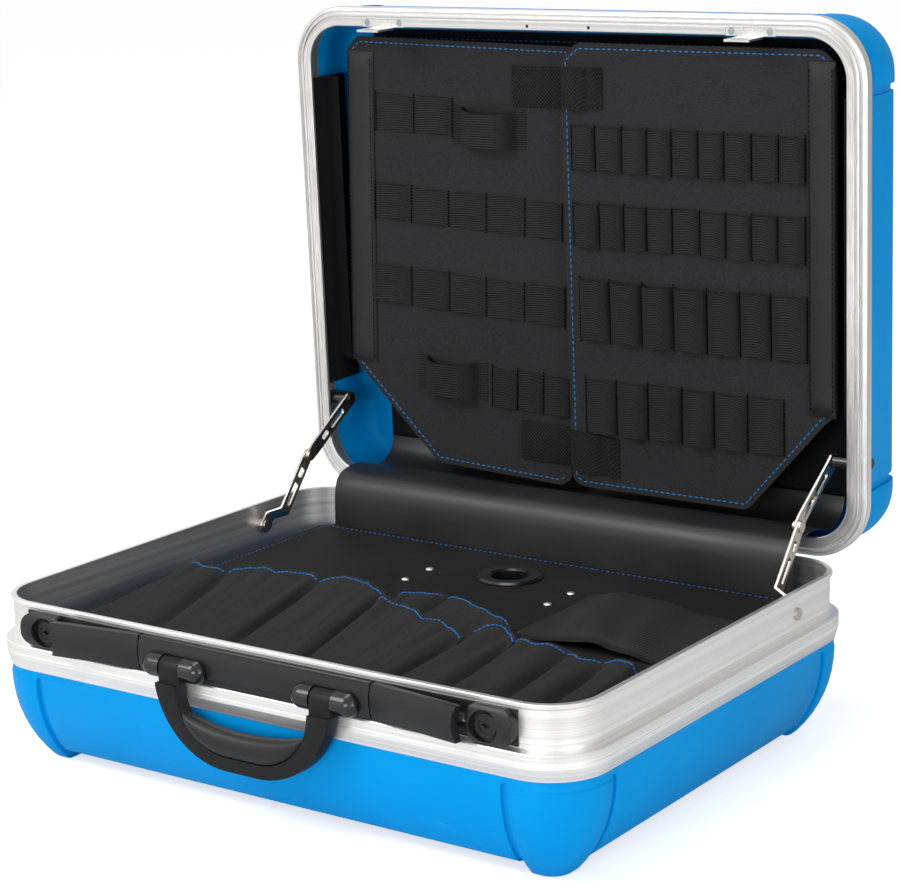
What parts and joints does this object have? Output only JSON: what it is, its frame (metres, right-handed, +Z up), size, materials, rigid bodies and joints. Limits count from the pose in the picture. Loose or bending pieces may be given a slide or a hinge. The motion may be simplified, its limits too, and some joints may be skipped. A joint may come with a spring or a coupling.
{
  "type": "hard tool case",
  "caption": "Hard tool case with framed moulded shells, key-lock lever latches, folding handle, lid stays, swing-out tool panels and a lift-out pallet with pockets.",
  "frame": {"origin": "centre of the base's footprint, on the plane of the four corner feet", "axes": "+Z up, +X to the right seen from the front, -Y towards the latches and the handle; the lid stands open at 88 degrees on the +Y side"},
  "size_m": [0.472, 0.4549, 0.4856],
  "materials": {
    "blue_plastic": "moulded, satin with a fine grain",
    "frame_aluminium": "natural, satin drawn",
    "zinc_steel": "zinc plated",
    "black_plastic": "moulded, satin",
    "grip_rubber": "soft, matt",
    "black_cloth": "woven, matt",
    "board_cloth": "cloth laid over board",
    "black_elastic": "ribbed elastic webbing",
    "black_mesh": "open mesh",
    "black_leathercloth": "smooth, soft sheen"
  },
  "bodies": {
    "base": {"base_shell": "blue_plastic", "base_frame": "frame_aluminium", "hinge_base_leaf": "zinc_steel", "hinge_pin": "zinc_steel", "hinge_cover": "black_leathercloth", "latch_plate": "black_plastic", "latch_plate_screws": "zinc_steel", "latch_springs": "zinc_steel", "lever_pins": "zinc_steel", "lock_housing_left": "black_plastic", "lock_housing_right": "black_plastic", "lock_sleeve_left": "black_plastic", "lock_sleeve_right": "black_plastic", "handle_lugs": "black_plastic", "handle_pins": "zinc_steel", "stay_base_studs": "zinc_steel", "pallet_blocks": "black_plastic"},
    "lid": {"lid_shell": "blue_plastic", "lid_frame": "frame_aluminium", "hinge_lid_leaf": "zinc_steel", "hinge_lid_rivets": "zinc_steel", "keeper_left": "zinc_steel", "keeper_right": "zinc_steel", "keeper_screws": "zinc_steel", "lid_lining_left": "black_cloth", "lid_lining_right": "black_cloth", "lid_lining_top": "black_cloth", "lid_back_pad": "black_cloth", "stay_lid_posts": "black_plastic", "stay_lid_rivets": "black_plastic"},
    "stay_lower_left": {"stay_lower_left": "zinc_steel", "stay_washer_left": "zinc_steel"},
    "stay_lower_right": {"stay_lower_right": "zinc_steel", "stay_washer_right": "zinc_steel"},
    "stay_upper_left": {"stay_upper_left": "zinc_steel", "stay_rivet_left": "zinc_steel"},
    "stay_upper_right": {"stay_upper_right": "zinc_steel", "stay_rivet_right": "zinc_steel"},
    "handle": {"handle_strap": "black_plastic", "handle_grip": "grip_rubber"},
    "latch_left": {"latch_lever_left": "black_plastic", "latch_nose_left": "zinc_steel"},
    "latch_right": {"latch_lever_right": "black_plastic", "latch_nose_right": "zinc_steel"},
    "lock_left": {"lock_plug_left": "black_plastic", "lock_cam_left": "zinc_steel"},
    "lock_right": {"lock_plug_right": "black_plastic", "lock_cam_right": "zinc_steel"},
    "panel_left": {"tool_panel_left": "board_cloth", "panel_flap_left": "black_elastic", "panel_loops_left": "black_elastic"},
    "panel_right": {"tool_panel_right": "board_cloth", "panel_flap_right": "black_elastic", "panel_loops_right": "black_elastic"},
    "pallet": {"pallet_board": "board_cloth", "pallet_grommet": "black_plastic", "pallet_rivets": "zinc_steel", "pallet_pockets": "black_cloth", "mesh_pocket": "black_mesh"}
  },
  "joints": [
    {"name": "lid_hinge", "type": "hinge", "parent": "base", "child": "lid", "pos_m": [0, 0.18664, 0.11268], "axis": [-1, 0, 0], "range_deg": [-88, 0], "deforming": ["hinge_cover"]},
    {"name": "stay_lower_left_pivot", "type": "hinge", "parent": "base", "child": "stay_lower_left", "pos_m": [-0.221, 0.1043, 0.1], "axis": [1, 0, 0], "range_deg": [-65.6, 0.5]},
    {"name": "stay_upper_left_pivot", "type": "hinge", "parent": "lid", "child": "stay_upper_left", "pos_m": [-0.2077, 0.19654, 0.18207], "axis": [-1, 0, 0], "range_deg": [-18.1, 0.5]},
    {"name": "stay_lower_right_pivot", "type": "hinge", "parent": "base", "child": "stay_lower_right", "pos_m": [0.221, 0.1043, 0.1], "axis": [1, 0, 0], "range_deg": [-65.6, 0.5]},
    {"name": "stay_upper_right_pivot", "type": "hinge", "parent": "lid", "child": "stay_upper_right", "pos_m": [0.2077, 0.19654, 0.18207], "axis": [-1, 0, 0], "range_deg": [-18.1, 0.5]},
    {"name": "handle_swing", "type": "hinge", "parent": "base", "child": "handle", "pos_m": [0, -0.1875, 0.096], "axis": [-1, 0, 0], "range_deg": [0, 95]},
    {"name": "latch_left_lever", "type": "hinge", "parent": "base", "child": "latch_left", "pos_m": [-0.0925, -0.1836, 0.1002], "axis": [0, 0, 1], "range_deg": [-8, 12]},
    {"name": "latch_right_lever", "type": "hinge", "parent": "base", "child": "latch_right", "pos_m": [0.0925, -0.1836, 0.1002], "axis": [0, 0, -1], "range_deg": [-8, 12]},
    {"name": "lock_left_turn", "type": "hinge", "parent": "base", "child": "lock_left", "pos_m": [-0.1745, -0.1825, 0.0996], "axis": [0, 1, 0], "range_deg": [0, 90]},
    {"name": "lock_right_turn", "type": "hinge", "parent": "base", "child": "lock_right", "pos_m": [0.1745, -0.1825, 0.0996], "axis": [0, -1, 0], "range_deg": [0, 90]},
    {"name": "panel_left_fold", "type": "hinge", "parent": "lid", "child": "panel_left", "pos_m": [-0.2107, 0.20656, 0.29348], "axis": [0, 0.0349, -0.9994], "range_deg": [0, 90]},
    {"name": "panel_right_fold", "type": "hinge", "parent": "lid", "child": "panel_right", "pos_m": [0.2107, 0.19657, 0.29314], "axis": [0, -0.0349, 0.9994], "range_deg": [0, 90]},
    {"name": "pallet_lift", "type": "slide", "parent": "base", "child": "pallet", "axis": [0, 0, 1], "range_m": [0, 0.06]}
  ],
  "couplings": [
    {"joint": "stay_lower_left_pivot", "follows": "lid_hinge", "ratio": 0.7398},
    {"joint": "stay_upper_left_pivot", "follows": "lid_hinge", "ratio": 0.2001},
    {"joint": "stay_lower_right_pivot", "follows": "lid_hinge", "ratio": 0.7398},
    {"joint": "stay_upper_right_pivot", "follows": "lid_hinge", "ratio": 0.2001}
  ]
}
